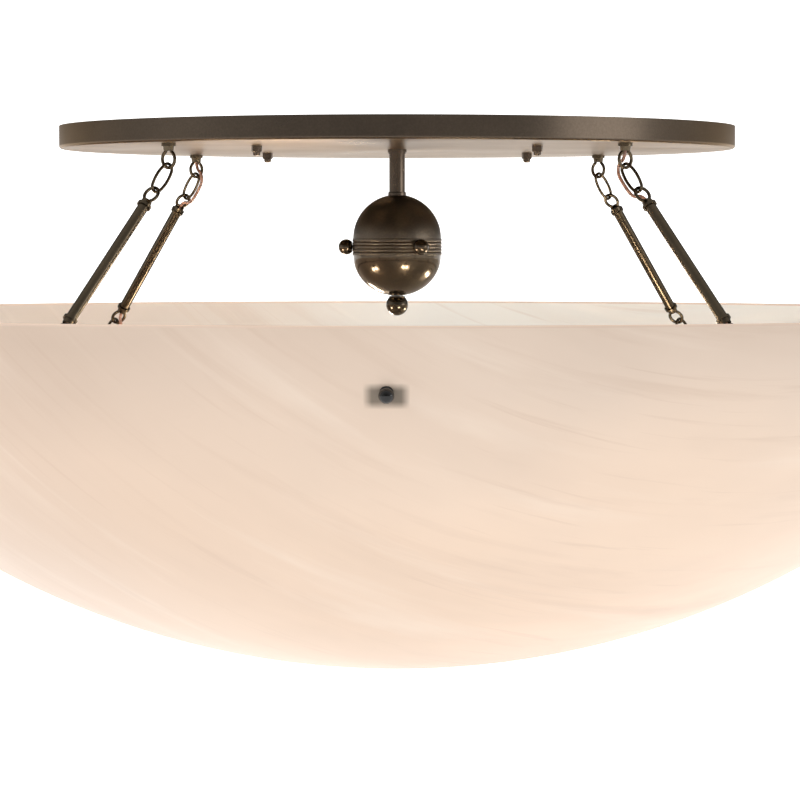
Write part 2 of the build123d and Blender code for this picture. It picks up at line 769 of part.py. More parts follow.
# ---------------------------------------------------------------- lamp cord
# Two legs carry a cord. It leaves the ceiling loop's neck, hangs round the inner side of the
# link, goes in at the rod's top loop, and comes out at the bottom loop towards the hoop.
upper_cord_points = [
    leg_point(0) + Vector(0, 0, loop_reach - 2.8),
    leg_point(0) + Vector(0, 0, 11.2),
    leg_point(-9.8, -4.6),
    leg_point(-2.0, -12.6),
    leg_point(9.5, -13.8),
    leg_point(22.0, -13.8),
    leg_point(rod_loop_top + 3.4, -12.2),
    leg_point(rod_loop_top + 11.0, 0),
    leg_point(rod_top - 3.6, 0),
]
lower_cord_points = [
    leg_point(rod_low + 3.2, 0),
    leg_point(rod_low + 15.9, 0),
    leg_point(rod_loop_low - 3.6, -12.9),
    leg_point(rod_loop_low + 8.3, -15.4),
    Vector(cord_hole_x - 7.6, 0, hoop_top + 17.5),
    Vector(cord_hole_x, 0, hoop_top + 7.5),
    Vector(cord_hole_x, 0, hoop_top - 5.0),
]


def cord_radii(points):
    """Each arc is 0.45 of the shorter run beside it, divided by the tangent of half the turn."""
    radii = []
    for before, corner, after in zip(points, points[1:], points[2:]):
        turn = radians((corner - before).get_angle(after - corner))
        shorter = min((corner - before).length, (after - corner).length)
        radii.append(0.45 * shorter / tan(turn / 2))
    return radii


def cord_tube(points, name):
    radii = cord_radii(points)
    with BuildPart() as tube:
        with BuildLine() as route:
            FilletPolyline(*points, radius=radii)
        path = route.wire()
        with BuildSketch(Plane(origin=path @ 0, z_dir=path % 0)):
            Circle(cord_radius)
        sweep(path=path)
    expected = pi * cord_radius**2 * path.length
    print(name, "length", round(path.length, 1), "radii", [round(r, 1) for r in radii])
    print(name, "volume share", round(tube.part.volume / expected, 4))
    return tube.part


upper_cord = cord_tube(upper_cord_points, "upper cord")
lower_cord = cord_tube(lower_cord_points, "lower cord")
with BuildPart() as rod_cord:
    with BuildSketch(Plane(origin=upper_cord_points[-1], z_dir=leg_axis)):
        Circle(cord_radius)
    extrude(amount=(lower_cord_points[0] - upper_cord_points[-1]).length)
for leg in cord_legs:
    save(upper_cord.rotate(Axis.Z, leg_angles[leg]), f"{leg}_upper_cord")
    save(rod_cord.part.rotate(Axis.Z, leg_angles[leg]), f"{leg}_rod_cord")
    save(lower_cord.rotate(Axis.Z, leg_angles[leg]), f"{leg}_lower_cord")
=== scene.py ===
import json
from math import atan2, cos, degrees, hypot, pi, radians, sin, sqrt

import bmesh
import bpy
from mathutils import Matrix, Vector

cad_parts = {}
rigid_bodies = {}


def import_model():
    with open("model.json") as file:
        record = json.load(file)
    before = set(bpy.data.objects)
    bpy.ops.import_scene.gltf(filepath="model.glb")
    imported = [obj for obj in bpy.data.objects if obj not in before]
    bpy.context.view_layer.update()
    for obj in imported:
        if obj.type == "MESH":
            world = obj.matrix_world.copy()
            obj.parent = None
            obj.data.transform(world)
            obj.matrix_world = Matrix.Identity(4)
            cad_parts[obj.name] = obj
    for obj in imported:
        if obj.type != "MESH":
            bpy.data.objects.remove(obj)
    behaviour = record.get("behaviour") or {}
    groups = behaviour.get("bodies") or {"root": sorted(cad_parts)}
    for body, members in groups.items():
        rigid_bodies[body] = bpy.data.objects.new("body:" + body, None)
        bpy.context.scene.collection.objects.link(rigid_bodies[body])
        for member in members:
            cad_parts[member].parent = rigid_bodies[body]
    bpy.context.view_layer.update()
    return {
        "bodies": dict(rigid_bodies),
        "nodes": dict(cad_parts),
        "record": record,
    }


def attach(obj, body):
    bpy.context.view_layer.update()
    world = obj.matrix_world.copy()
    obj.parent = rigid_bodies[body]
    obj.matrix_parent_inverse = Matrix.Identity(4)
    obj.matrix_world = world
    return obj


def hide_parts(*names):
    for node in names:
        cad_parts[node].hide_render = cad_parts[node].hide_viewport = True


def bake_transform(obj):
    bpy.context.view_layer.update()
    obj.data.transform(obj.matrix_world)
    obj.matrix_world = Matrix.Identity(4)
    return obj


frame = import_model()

bl_info = {
    "name": "Semi Flush Bowl Light",
    "version": (1, 0, 0),
    "blender": (4, 5, 0),
    "location": "3D View > Sidebar > Bowl Light",
    "description": "Dresses a packed ceiling light with fine pieces, cords, finishes and a studio",
    "category": "Object",
}

LEG_ANGLES = {"front_right": -45, "back_right": 45, "back_left": 135, "front_left": -135}
CORD_LEGS = ("back_left", "front_right")
MM = 0.001
SLOTS = {row["node"]: row["material_slot"] for row in frame["record"]["subparts"]}
BODY_OF = {empty: body for body, empty in frame["bodies"].items()}


# ------------------------------------------------------------------ settings
class BowlLightColours(bpy.types.PropertyGroup):
    """Colours of the finishes."""

    def colour(name, description, value):
        return bpy.props.FloatVectorProperty(
            name=name, description=description, subtype="COLOR", size=3, min=0, max=1, default=value
        )

    bronze: colour("Bronze", "Stem, hoop, brackets and small fittings", (0.12, 0.092, 0.070))
    bronze_warm: colour("Warm bronze", "Lighter patches on the dark bronze", (0.16, 0.122, 0.090))
    pan: colour("Pan bronze", "Painted ceiling pan", (0.11, 0.085, 0.064))
    satin: colour("Satin bronze", "Lower shell, knobs and finial of the ball", (0.115, 0.090, 0.064))
    satin_warm: colour("Warm satin bronze", "Patches on the whole ball", (0.150, 0.117, 0.083))
    dome: colour("Dome bronze", "Upper shell and band of the ball", (0.17, 0.140, 0.108))
    leg: colour("Leg bronze", "Rods, links and loops", (0.11, 0.085, 0.056))
    leg_warm: colour("Worn leg bronze", "Rubbed patches on the legs", (0.17, 0.13, 0.085))
    cream: colour("Cream", "Upper part of the bowl", (0.57, 0.465, 0.385))
    # painted light: the warmer lower part stands for the lamps' light coming through the wall
    lamp_warmed_peach: colour("Peach", "Lower part of the bowl", (0.66, 0.505, 0.385))
    inside: colour("Inside", "Inner face of the bowl", (0.58, 0.55, 0.505))
    haze: colour("Haze", "Broad duller clouds in the bowl", (0.44, 0.335, 0.262))
    vein: colour("Vein", "Thin streaks in the bowl", (0.42, 0.30, 0.225))
    pale: colour("Pale streak", "Light streaks in the bowl", (0.68, 0.60, 0.52))
    shade: colour("Shade", "Wall of the bowl where a pad stops the light", (0.125, 0.10, 0.072))
    sawn: colour("Sawn rim", "Bare edge of the bowl", (0.54, 0.42, 0.34))


class BowlLightSizes(bpy.types.PropertyGroup):
    """Sizes of the pieces made here."""

    cord_radius: bpy.props.FloatProperty(
        name="Cord radius", description="Outside radius of the lamp cord", unit="LENGTH", default=0.002
    )
    round_steps: bpy.props.IntProperty(
        name="Round steps", description="Faces round the pan and the bowl", default=192
    )
    camera_lens: bpy.props.FloatProperty(
        name="Lens", description="Focal length of the camera in millimetres", default=151.0
    )


# ------------------------------------------------------------------ small helpers
def node(tree, kind, inputs=None, **values):
    """Adds a node, sets its values, and links or sets its inputs."""
    made = tree.nodes.new(kind)
    for key, value in values.items():
        setattr(made, key, value)
    for key, value in (inputs or {}).items():
        socket = made.inputs[key]
        if isinstance(value, bpy.types.NodeSocket):
            tree.links.new(value, socket)
        else:
            socket.default_value = value
    return made


def rgba(colour):
    """The colour with full alpha."""
    return (colour[0], colour[1], colour[2], 1.0)


def ramp(tree, factor, stops):
    """A colour ramp with (place, colour) stops."""
    made = node(tree, "ShaderNodeValToRGB", {"Fac": factor})
    elements = made.color_ramp.elements
    while len(elements) < len(stops):
        elements.new(0.5)
    for element, (position, colour) in zip(elements, stops):
        element.position = position
        element.color = rgba(colour) if len(colour) == 3 else colour
    return made.outputs["Color"]


def level(tree, factor, low, high, out_low=0.0, out_high=1.0):
    """Maps a value from one range to another, clamped."""
    made = node(
        tree,
        "ShaderNodeMapRange",
        {"Value": factor, "From Min": low, "From Max": high, "To Min": out_low, "To Max": out_high},
    )
    return made.outputs["Result"]


def mixed(tree, factor, first, second, blend_type="MIX"):
    """Mixes two colours."""
    made = node(tree, "ShaderNodeMix", data_type="RGBA", blend_type=blend_type)
    for socket, value in ((made.inputs[0], factor), (made.inputs[6], first), (made.inputs[7], second)):
        if isinstance(value, bpy.types.NodeSocket):
            tree.links.new(value, socket)
        else:
            socket.default_value = value
    return made.outputs[2]


def new_material(name):
    """A material with its tree and its main shader."""
    made = bpy.data.materials.new(name)
    made.use_nodes = True
    tree = made.node_tree
    return made, tree, tree.nodes["Principled BSDF"]


def group_tree(name, inputs, outputs):
    """A node group with named sockets."""
    tree = bpy.data.node_groups.new(name, "ShaderNodeTree")
    for key, kind, value in inputs:
        socket = tree.interface.new_socket(name=key, in_out="INPUT", socket_type=kind)
        socket.default_value = value
    for key, kind in outputs:
        tree.interface.new_socket(name=key, in_out="OUTPUT", socket_type=kind)
    return tree, tree.nodes.new("NodeGroupInput"), tree.nodes.new("NodeGroupOutput")


def place_group(tree, name, inputs):
    """Places a node group in a material with its own values."""
    return node(tree, "ShaderNodeGroup", inputs, node_tree=bpy.data.node_groups[name])


def patina_group():
    """Cloudy colour change, fine specks and slow roughness change of a bronze finish."""
    tree, given, put = group_tree(
        "Patina",
        (
            ("Base", "NodeSocketColor", (0.03, 0.02, 0.015, 1)),
            ("Warm", "NodeSocketColor", (0.08, 0.06, 0.04, 1)),
            ("Warmth", "NodeSocketFloat", 0.5),
            ("Cloud Scale", "NodeSocketFloat", 14.0),
            ("Roughness Low", "NodeSocketFloat", 0.28),
            ("Roughness High", "NodeSocketFloat", 0.46),
        ),
        (("Color", "NodeSocketColor"), ("Roughness", "NodeSocketFloat"), ("Height", "NodeSocketFloat")),
    )
    place = node(tree, "ShaderNodeTexCoord").outputs["Object"]
    cloud = node(
        tree,
        "ShaderNodeTexNoise",
        {"Vector": place, "Scale": given.outputs["Cloud Scale"], "Detail": 5.0, "Roughness": 0.6},
    )
    speck = node(tree, "ShaderNodeTexNoise", {"Vector": place, "Scale": 420.0, "Detail": 3.0})
    patch = level(tree, cloud.outputs["Fac"], 0.38, 0.68)
    strength = node(
        tree, "ShaderNodeMath", {0: patch, 1: given.outputs["Warmth"]}, operation="MULTIPLY"
    ).outputs[0]
    base = mixed(tree, strength, given.outputs["Base"], given.outputs["Warm"])
    shade = ramp(tree, speck.outputs["Fac"], ((0.35, (0.72, 0.72, 0.72)), (0.7, (1.0, 1.0, 1.0))))
    tree.links.new(mixed(tree, 0.5, base, shade, "MULTIPLY"), put.inputs["Color"])
    rough = node(
        tree,
        "ShaderNodeMapRange",
        {
            "Value": cloud.outputs["Fac"],
            "From Min": 0.3,
            "From Max": 0.7,
            "To Min": given.outputs["Roughness Low"],
            "To Max": given.outputs["Roughness High"],
        },
    )
    tree.links.new(rough.outputs["Result"], put.inputs["Roughness"])
    tree.links.new(speck.outputs["Fac"], put.inputs["Height"])


def bronze_material(name, base, warm, warmth=0.6, scale=14.0, rough=(0.28, 0.46), metallic=0.85, bump=0.03):
    made, tree, shader = new_material(name)
    patina = place_group(
        tree,
        "Patina",
        {
            "Base": rgba(base),
            "Warm": rgba(warm),
            "Warmth": warmth,
            "Cloud Scale": scale,
            "Roughness Low": rough[0],
            "Roughness High": rough[1],
        },
    )
    tree.links.new(patina.outputs["Color"], shader.inputs["Base Color"])
    tree.links.new(patina.outputs["Roughness"], shader.inputs["Roughness"])
    shader.inputs["Metallic"].default_value = metallic
    grain = node(
        tree, "ShaderNodeBump", {"Height": patina.outputs["Height"], "Strength": bump, "Distance": 0.0004}
    )
    tree.links.new(grain.outputs["Normal"], shader.inputs["Normal"])
    return made


def paint_node(name, material):
    """Puts one material on a CAD node."""
    target = frame["nodes"][name]
    target.data.materials.clear()
    target.data.materials.append(material)


def finish_piece(obj, body, replaced, material):
    """Puts a piece on its body with its finish, and hides the CAD nodes that it stands for."""
    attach(obj, body)
    if replaced:
        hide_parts(*replaced)
    obj.data.materials.append(material)


# ------------------------------------------------------------------ stage
FLOOR_Z = -1.15
BACK_Y = 7.0
SWEEP_HALF = 14.0
SWEEP_BEND = 3.0
WALL_HEIGHT = 10.0
EYE = (0.0035, -4.060, -0.1427)
EYE_LIFT = 0.046  # radians that the eye looks below level
PAPER = (0.93, 0.925, 0.915, 1)
PAPER_MIRRORED = (0.16, 0.15, 0.145, 1)
ROOM = (0.80, 0.79, 0.775, 1)
# grey of the room in the metal's mirror, from before the light (0) to behind it (1)
ROOM_MIRRORED = ((0.0, (0.18,) * 3), (0.35, (0.66,) * 3), (1.0, (0.45,) * 3))


def paper_material():
    """White paper for the eye, and dimmer paper for the metal's mirror, most of all high up."""
    paper, tree, shader = new_material("pale_paper")
    shader.inputs["Roughness"].default_value = 0.9
    shader.inputs["Emission Color"].default_value = (1, 1, 1, 1)
    path = node(tree, "ShaderNodeLightPath").outputs
    place = node(tree, "ShaderNodeTexCoord").outputs["Object"]
    height = node(tree, "ShaderNodeSeparateXYZ", {0: place}).outputs["Z"]
    mirrored = node(
        tree,
        "ShaderNodeMath",
        {0: path["Is Glossy Ray"], 1: level(tree, height, -0.1, 0.3, 1.25, 0.02)},
        operation="MULTIPLY",
    ).outputs[0]
    glow = node(
        tree, "ShaderNodeMath", {0: mirrored, 1: path["Is Camera Ray"]}, operation="ADD"
    ).outputs[0]
    tree.links.new(glow, shader.inputs["Emission Strength"])
    paper_tone = mixed(tree, path["Is Glossy Ray"], PAPER, PAPER_MIRRORED)
    tree.links.new(paper_tone, shader.inputs["Base Color"])
    # seen from behind or below, the sweep is clear
    away = node(tree, "ShaderNodeNewGeometry").outputs["Backfacing"]
    front = node(tree, "ShaderNodeMath", {0: 1.0, 1: away}, operation="SUBTRACT").outputs[0]
    tree.links.new(front, shader.inputs["Alpha"])
    return paper


def paper_sweep():
    """A seamless sweep: floor, curve and back wall."""
    mesh = bmesh.new()
    bmesh.ops.create_grid(mesh, x_segments=1, y_segments=1, size=SWEEP_HALF)
    bmesh.ops.translate(mesh, verts=mesh.verts, vec=(0, BACK_Y - SWEEP_HALF, FLOOR_Z))
    back = [edge for edge in mesh.edges if all(vert.co.y > BACK_Y - 0.01 for vert in edge.verts)]
    raised = bmesh.ops.extrude_edge_only(mesh, edges=back)
    top = [item for item in raised["geom"] if isinstance(item, bmesh.types.BMVert)]
    bmesh.ops.translate(mesh, verts=top, vec=(0, 0, WALL_HEIGHT))
    bmesh.ops.bevel(
        mesh, geom=back, offset=SWEEP_BEND, segments=12, profile=0.5, affect="EDGES", material=-1
    )
    bmesh.ops.recalc_face_normals(mesh, faces=mesh.faces)
    floor = min(mesh.faces, key=lambda face: face.calc_center_median().z)
    if floor.normal.z < 0:
        bmesh.ops.reverse_faces(mesh, faces=mesh.faces)
    data = bpy.data.meshes.new("studio_sweep")
    mesh.to_mesh(data)
    mesh.free()
    for face in data.polygons:
        face.use_smooth = True
    sweep = bpy.data.objects.new("studio_sweep", data)
    bpy.context.scene.collection.objects.link(sweep)
    data.materials.append(paper_material())


def studio_room():
    """Even light all round, with a dim front that gives polished metal dark and light sides."""
    world = bpy.data.worlds.new("studio")
    world.use_nodes = True
    sky = world.node_tree
    facing = node(sky, "ShaderNodeTexCoord").outputs["Generated"]
    depth = node(sky, "ShaderNodeSeparateXYZ", {0: facing}).outputs["Y"]
    seen = ramp(sky, level(sky, depth, -1, 1), ROOM_MIRRORED)
    polished = node(sky, "ShaderNodeLightPath").outputs["Is Glossy Ray"]
    room = mixed(sky, polished, ROOM, seen)
    sky.links.new(room, sky.nodes["Background"].inputs["Color"])
    return world


def softbox(name, place, aim, size, power):
    """A lit rectangle that looks at a point."""
    lamp = bpy.data.lights.new(name, "AREA")
    lamp.shape = "RECTANGLE"
    lamp.size, lamp.size_y = size
    lamp.energy = power
    holder = bpy.data.objects.new(name, lamp)
    holder.location = place
    holder.rotation_euler = (Vector(aim) - Vector(place)).to_track_quat("-Z", "Y").to_euler()
    bpy.context.scene.collection.objects.link(holder)
    return holder


class BOWLLIGHT_OT_stage(bpy.types.Operator):
    """Make the floor, the lights and the camera"""

    bl_idname = "bowl_light.stage"
    bl_label = "Stage"

    def execute(self, context):
        scene = context.scene
        paper_sweep()
        scene.world = studio_room()
        scene.view_settings.view_transform = "Standard"
        key = softbox("key_softbox", (-3.2, -3.6, 0.6), (0, 0, -0.3), (2.4, 2.4), 55)
        key.visible_glossy = False  # it lights the bowl and leaves no patch on the metal
        softbox("side_softbox", (3.8, -1.5, 0.05), (0, 0, -0.02), (2.4, 0.5), 14)

        camera = bpy.data.cameras.new("camera")
        camera.lens = scene.bowl_light_sizes.camera_lens
        camera.sensor_width = 36.0
        camera.clip_end = 100.0
        eye = bpy.data.objects.new("camera", camera)
        eye.location = EYE
        eye.rotation_euler = (pi / 2 - EYE_LIFT, 0, 0)
        scene.collection.objects.link(eye)
        scene.camera = eye
        return {"FINISHED"}


# ------------------------------------------------------------------ making pieces
def run_of_edges(mesh, points):
    """A few vertices in the XZ plane, joined in order."""
    verts = [mesh.verts.new((x, 0, z)) for x, z in points]
    for pair in zip(verts, verts[1:]):
        mesh.edges.new(pair)
    return verts


def spin_arc(mesh, vert, centre, turn, steps):
    """Draws an arc from a vertex in the XZ plane, and returns the vertex at its end."""
    made = bmesh.ops.spin(
        mesh,
        geom=[vert],
        cent=(centre[0], 0, centre[1]),
        axis=(0, -1, 0),
        dvec=(0, 0, 0),
        angle=radians(turn),
        steps=steps,
        use_merge=False,
        use_duplicate=False,
    )
    return [item for item in made["geom_last"] if isinstance(item, bmesh.types.BMVert)][0]


def turn_round(mesh, steps):
    """Spins everything in the mesh round Z into a closed skin that faces outwards."""
    bmesh.ops.remove_doubles(mesh, verts=mesh.verts, dist=1e-6)
    bmesh.ops.spin(
        mesh,
        geom=list(mesh.verts) + list(mesh.edges),
        cent=(0, 0, 0),
        axis=(0, 0, 1),
        dvec=(0, 0, 0),
        angle=2 * pi,
        steps=steps,
        use_merge=True,
        use_duplicate=False,
    )
    bmesh.ops.remove_doubles(mesh, verts=mesh.verts, dist=2e-6)
    bmesh.ops.recalc_face_normals(mesh, faces=mesh.faces)


def bevel_rings(mesh, rings, offset, segments):
    """Rounds the edges that run round Z at each (radius, z)."""
    chosen = [
        edge
        for edge in mesh.edges
        if any(
            all(hypot(hypot(*vert.co.xy) - radius, vert.co.z - z) < 2e-5 for vert in edge.verts)
            for radius, z in rings
        )
    ]
    bmesh.ops.bevel(
        mesh, geom=chosen, offset=offset, segments=segments, profile=0.5, affect="EDGES", material=-1
    )


def piece_from(mesh, name, sharp=30):
    """Ends a bmesh as a smooth object that stands at the origin."""
    data = bpy.data.meshes.new(name)
    for face in mesh.faces:
        face.smooth = True
    for edge in mesh.edges:
        edge.smooth = len(edge.link_faces) == 2 and edge.calc_face_angle(0) < radians(sharp)
    mesh.to_mesh(data)
    mesh.free()
    piece = bpy.data.objects.new(name, data)
    bpy.context.scene.collection.objects.link(piece)
    return piece


def smooth_copy(name, material, sharp=35):
    """A merged and smooth copy of a CAD node, which stands for it on the same body."""
    source = frame["nodes"][name]
    mesh = bmesh.new()
    mesh.from_mesh(source.data)
    bmesh.ops.remove_doubles(mesh, verts=mesh.verts, dist=1e-6)
    piece = piece_from(mesh, name + "_fine", sharp)
    finish_piece(piece, BODY_OF[source.parent], [name], material)
    return piece


def round_the_axis(mesh, name, z_low, z_high):
    """A UV map: u is the turn round Z, v the height between two levels."""
    layer = mesh.loops.layers.uv.new(name)
    for face in mesh.faces:
        middle = atan2(face.calc_center_median().y, face.calc_center_median().x)
        for loop in face.loops:
            place = loop.vert.co
            turn = atan2(place.y, place.x) if hypot(place.x, place.y) > 1e-5 else middle
            if turn - middle > pi:
                turn -= 2 * pi
            elif middle - turn > pi:
                turn += 2 * pi
            loop[layer].uv = (turn / (2 * pi) + 0.5, (place.z - z_low) / (z_high - z_low))


# ------------------------------------------------------------------ bowl
BOWL_RADIUS = 744 * MM
BOWL_RIM_Z = -222 * MM
BOWL_LOW_Z = -649 * MM
BOWL_WALL = 6 * MM
SIDE_ARC = 500 * MM
RIM_FLARE = 17.5
PAD_Z = -293.0 * MM  # of their shade, which the photo shows a little below the pads
PAD_SIZE = (38.5 * MM, 20.5 * MM)
ARM_TURN = -0.8  # degrees that the pads turn past the axes
PAD_EDGE = 4.5 * MM  # half the soft edge of a pad's shade
PAD_REACH = 714 * MM  # from the axis to the wall at the pads
PAD_SHADE = 0.82
SWIRL_CENTRE = (0.41, 0.0, 0.50)
# painted glow: emission on the bowl's wall in place of the lamps' light coming through it
GLOW_OUTSIDE = (0.5, 1.52)  # share of the glow at the rim and low down
GLOW_INSIDE = (1.0, 0.0)
GLOW_STRENGTH = 0.56


def bowl_line(mesh):
    """The outer face of the wall, from the axis out to a little past the rim."""
    flare = radians(RIM_FLARE)
    side = (BOWL_RADIUS - SIDE_ARC * cos(flare), BOWL_RIM_Z + SIDE_ARC * sin(flare))
    rise = side[1] - BOWL_LOW_Z
    crown_radius = (side[0] ** 2 + rise**2 - SIDE_ARC**2) / (2 * (rise - SIDE_ARC))
    crown = (0, BOWL_LOW_Z + crown_radius)
    turn = degrees(atan2(crown[1] - side[1], side[0]))
    past_rim = 1.0
    middle = mesh.verts.new((0, 0, BOWL_LOW_Z))
    meeting = spin_arc(mesh, middle, crown, 90 - turn, 22)
    spin_arc(mesh, meeting, side, turn - RIM_FLARE + past_rim, 24)


def swirl_place(tree, place):
    """Places on arcs about a line parallel to Y, up and to the right of the bowl."""
    moved = node(tree, "ShaderNodeVectorMath", {0: place, 1: SWIRL_CENTRE}, operation="SUBTRACT")
    flat = node(
        tree, "ShaderNodeVectorMath", {0: moved.outputs[0], 1: (1.0, 0.0, 1.0)}, operation="MULTIPLY"
    )
    reach = node(tree, "ShaderNodeVectorMath", {0: flat.outputs[0]}, operation="LENGTH").outputs["Value"]
    parts = node(tree, "ShaderNodeSeparateXYZ", {0: moved.outputs[0]})
    drop = node(tree, "ShaderNodeMath", {0: parts.outputs["Z"], 1: -1.0}, operation="MULTIPLY").outputs[0]
    around = node(
        tree, "ShaderNodeMath", {0: parts.outputs["X"], 1: drop}, operation="ARCTAN2"
    ).outputs[0]
    return node(tree, "ShaderNodeCombineXYZ", {0: reach, 1: around, 2: parts.outputs["Y"]}).outputs[0]


def pad_shade(tree, height):
    """Where the pads and their knobs stop the lamps' light behind the wall."""
    chart = node(tree, "ShaderNodeUVMap", uv_map="round")
    spots = node(tree, "ShaderNodeSeparateXYZ", {0: chart.outputs["UV"]})
    quarter = node(
        tree,
        "ShaderNodeMath",
        {0: spots.outputs["X"], 1: 4.0, 2: 0.5 - ARM_TURN / 90},
        operation="MULTIPLY_ADD",
    ).outputs[0]
    turn = node(tree, "ShaderNodeMath", {0: quarter}, operation="FRACT").outputs[0]
    aside = node(tree, "ShaderNodeMath", {0: turn, 1: 0.5}, operation="SUBTRACT").outputs[0]
    aside = node(tree, "ShaderNodeMath", {0: aside}, operation="ABSOLUTE").outputs[0]
    quarter_round = pi / 2 * PAD_REACH
    half_wide, half_tall = PAD_SIZE[0] / 2, PAD_SIZE[1] / 2
    beside = level(
        tree, aside, (half_wide - PAD_EDGE) / quarter_round, (half_wide + PAD_EDGE) / quarter_round, 1, 0
    )
    above = node(tree, "ShaderNodeMath", {0: height, 1: PAD_Z}, operation="SUBTRACT").outputs[0]
    above = node(tree, "ShaderNodeMath", {0: above}, operation="ABSOLUTE").outputs[0]
    level_with = level(tree, above, half_tall - PAD_EDGE, half_tall + PAD_EDGE * 0.7, 1, 0)
    pad = node(tree, "ShaderNodeMath", {0: beside, 1: level_with}, operation="MULTIPLY").outputs[0]
    return node(tree, "ShaderNodeMath", {0: pad, 1: PAD_SHADE}, operation="MULTIPLY").outputs[0]


def alabaster_material(name, cream, lamp_warmed_peach, glow_shares, colours):
    """Cast stone look: pale clouds and long streaks on wide arcs, with painted lamp light: a warmer lower
    part, a painted glow from within, and the painted shade of the pads.
    """
    made, tree, shader = new_material(name)
    place = node(tree, "ShaderNodeTexCoord").outputs["Object"]
    swirl = swirl_place(tree, place)

    def streaks(scale, detail, distortion, seed):
        spread = node(tree, "ShaderNodeVectorMath", {0: swirl, 1: scale}, operation="MULTIPLY").outputs[0]
        return node(
            tree,
            "ShaderNodeTexNoise",
            {
                "Vector": spread,
                "W": seed,
                "Scale": 1.0,
                "Detail": detail,
                "Roughness": 0.55,
                "Distortion": distortion,
            },
            noise_dimensions="4D",
        ).outputs["Fac"]

    height = node(tree, "ShaderNodeSeparateXYZ", {0: place}).outputs["Z"]
    cloud = node(
        tree, "ShaderNodeTexNoise", {"Vector": place, "Scale": 2.4, "Detail": 3.0, "Roughness": 0.5}
    ).outputs["Fac"]
    lean = node(
        tree, "ShaderNodeMath", {0: cloud, 1: 0.22, 2: -0.11}, operation="MULTIPLY_ADD"
    ).outputs[0]
    lifted = node(tree, "ShaderNodeMath", {0: height, 1: lean}, operation="ADD").outputs[0]
    # painted light: warmer towards the bottom, where the lamps' light comes through the wall
    low = level(tree, lifted, -0.30, -0.55)
    base = mixed(tree, low, rgba(cream), rgba(lamp_warmed_peach))
    across = node(tree, "ShaderNodeSeparateXYZ", {0: place}).outputs["X"]
    duller = level(tree, across, 0.05, -0.40, 0.0, 0.65)
    base = mixed(tree, duller, base, rgba(colours.haze))
    # each layer's spread across, along and through the swirl, its detail, distortion and seed,
    # the levels between which it grows, its greatest strength and its colour
    drawn = []
    for scale, detail, distortion, seed, start, end, most, tone in (
        ((7.0, 1.3, 2.0), 4.0, 0.4, 0.0, 0.45, 0.75, 0.40, colours.haze),
        ((42.0, 2.2, 3.5), 6.0, 0.7, 3.0, 0.55, 0.72, 0.25, colours.vein),
        ((120.0, 3.0, 5.0), 3.0, 0.6, 7.0, 0.60, 0.70, 0.22, colours.vein),
        ((26.0, 1.8, 2.6), 5.0, 0.5, 11.0, 0.55, 0.75, 0.32, colours.pale),
    ):
        layer = streaks(scale, detail, distortion, seed)
        base = mixed(tree, level(tree, layer, start, end, 0.0, most), base, rgba(tone))
        drawn.append(layer)
    broad, fine = drawn[:2]

    pad = pad_shade(tree, height)
    base = mixed(tree, pad, base, rgba(colours.shade))

    # the sawn rim is bare stone
    sawn = level(tree, height, BOWL_RIM_Z - 0.0030, BOWL_RIM_Z - 0.0022)
    base = mixed(tree, sawn, base, rgba(colours.sawn))
    tree.links.new(base, shader.inputs["Base Color"])

    # painted glow: the wall gives off its own colour as light, most low on the outside and near the rim
    # inside, and less behind the pads
    glow = level(tree, lifted, -0.24, -0.56, *glow_shares)
    clear_of_pad_shade = node(tree, "ShaderNodeMath", {0: 1.0, 1: pad}, operation="SUBTRACT").outputs[0]
    glow = node(tree, "ShaderNodeMath", {0: glow, 1: clear_of_pad_shade}, operation="MULTIPLY").outputs[0]
    lit = mixed(tree, glow, (0.0, 0.0, 0.0, 1), base)
    tree.links.new(lit, shader.inputs["Emission Color"])
    shader.inputs["Emission Strength"].default_value = GLOW_STRENGTH
    rough = level(tree, broad, 0.3, 0.7, 0.30, 0.42)
    tree.links.new(rough, shader.inputs["Roughness"])
    grain = node(tree, "ShaderNodeBump", {"Height": fine, "Strength": 0.05, "Distance": 0.001})
    tree.links.new(grain.outputs["Normal"], shader.inputs["Normal"])
    return made


class BOWLLIGHT_OT_bowl(bpy.types.Operator):
    """Turn the bowl and give it its cast stone look"""

    bl_idname = "bowl_light.bowl"
    bl_label = "Bowl"

    def execute(self, context):
        mesh = bmesh.new()
        bowl_line(mesh)
        turn_round(mesh, context.scene.bowl_light_sizes.round_steps)
        bmesh.ops.solidify(mesh, geom=list(mesh.faces), thickness=BOWL_WALL)
        cut = bmesh.ops.bisect_plane(
            mesh,
            geom=list(mesh.verts) + list(mesh.edges) + list(mesh.faces),
            plane_co=(0, 0, BOWL_RIM_Z),
            plane_no=(0, 0, 1),
            clear_outer=True,
        )
        sawn = [item for item in cut["geom_cut"] if isinstance(item, bmesh.types.BMEdge)]
        bmesh.ops.bridge_loops(mesh, edges=sawn)
        bmesh.ops.recalc_face_normals(mesh, faces=mesh.faces)
        rims = sorted({round(hypot(*edge.verts[0].co.xy), 5) for edge in sawn if edge.is_valid})
        bevel_rings(mesh, [(radius, BOWL_RIM_Z) for radius in rims], 1.8 * MM, 3)
        round_the_axis(mesh, "round", BOWL_LOW_Z, BOWL_RIM_Z)
        for face in mesh.faces:
            middle = face.calc_center_median()
            face.material_index = 1 if face.normal.dot(middle - Vector((0, 0, 1))) < 0 else 0
        bowl = piece_from(mesh, "bowl_shell")
        colours = context.scene.bowl_light_colours
        outside = alabaster_material("alabaster", colours.cream, colours.lamp_warmed_peach, GLOW_OUTSIDE, colours)
        finish_piece(bowl, "bowl", ["bowl"], outside)
        inside = alabaster_material(
            "alabaster_inside", colours.inside, colours.inside, GLOW_INSIDE, colours
        )
        bowl.data.materials.append(inside)
        return {"FINISHED"}


# ------------------------------------------------------------------ pan
PAN_RADIUS = 406 * MM
PAN_DEPTH = 27 * MM
PAN_SHEET = 1.5 * MM
PAN_BEND = 3 * MM
PIPE_HOLE = 7.35 * MM


